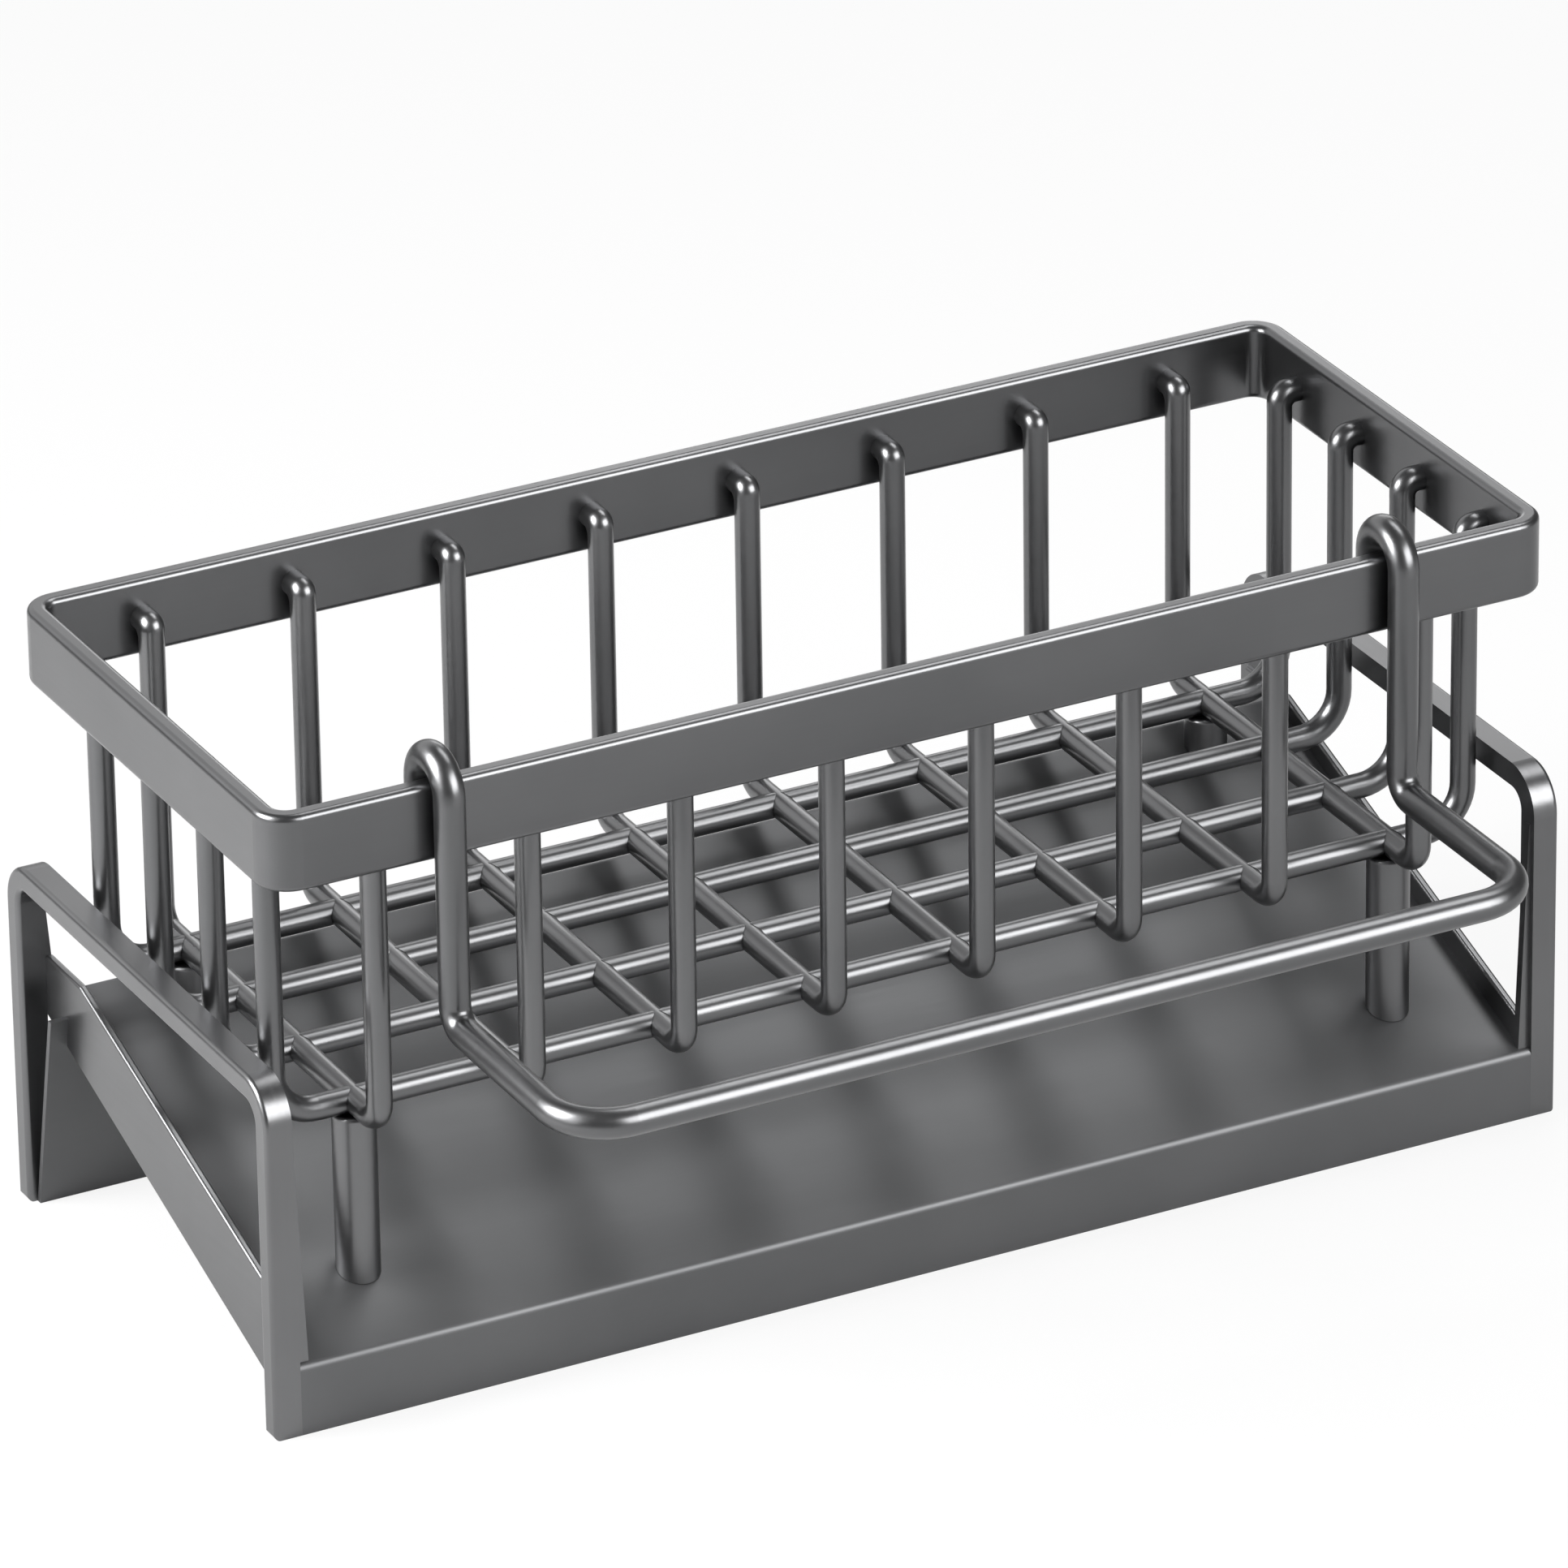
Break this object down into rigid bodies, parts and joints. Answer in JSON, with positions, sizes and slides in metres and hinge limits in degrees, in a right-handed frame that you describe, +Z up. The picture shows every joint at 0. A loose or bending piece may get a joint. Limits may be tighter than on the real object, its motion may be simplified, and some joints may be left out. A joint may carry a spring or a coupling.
{
  "type": "sponge holder",
  "caption": "Grey metal sink caddy: a wire sponge basket with a flat-bar rim stands on legs in a sloped drip tray with end hoops, and a hooked rag bar hangs from its front.",
  "frame": {"origin": "bottom centre of the whole caddy, rag bar included, on the worktop", "axes": "+X along the caddy to the right, -Y towards the front with the rag bar, +Z up"},
  "size_m": [0.22, 0.1364, 0.1073],
  "materials": {
    "satin_grey": "satin"
  },
  "bodies": {
    "tray": {"drip_pan": "satin_grey", "side_plate_left": "satin_grey", "side_plate_right": "satin_grey", "end_hoop_left": "satin_grey", "end_hoop_right": "satin_grey", "gusset_front_left": "satin_grey", "gusset_front_right": "satin_grey", "gusset_rear_left": "satin_grey", "gusset_rear_right": "satin_grey"},
    "basket": {"rim_band": "satin_grey", "cross_wire_1": "satin_grey", "cross_wire_2": "satin_grey", "cross_wire_3": "satin_grey", "cross_wire_4": "satin_grey", "cross_wire_5": "satin_grey", "cross_wire_6": "satin_grey", "cross_wire_7": "satin_grey", "cross_wire_8": "satin_grey", "long_wire_1": "satin_grey", "long_wire_2": "satin_grey", "long_wire_3": "satin_grey", "long_wire_4": "satin_grey", "leg_front_left": "satin_grey", "leg_front_right": "satin_grey", "leg_rear_left": "satin_grey", "leg_rear_right": "satin_grey"},
    "rag_bar": {"rag_bar": "satin_grey"}
  },
  "joints": [
    {"name": "basket_lift", "type": "slide", "parent": "tray", "child": "basket", "axis": [0, 0, 1], "range_m": [0, 0.06]},
    {"name": "rag_bar_lift", "type": "slide", "parent": "basket", "child": "rag_bar", "axis": [0, 0, 1], "range_m": [0, 0.025]}
  ]
}
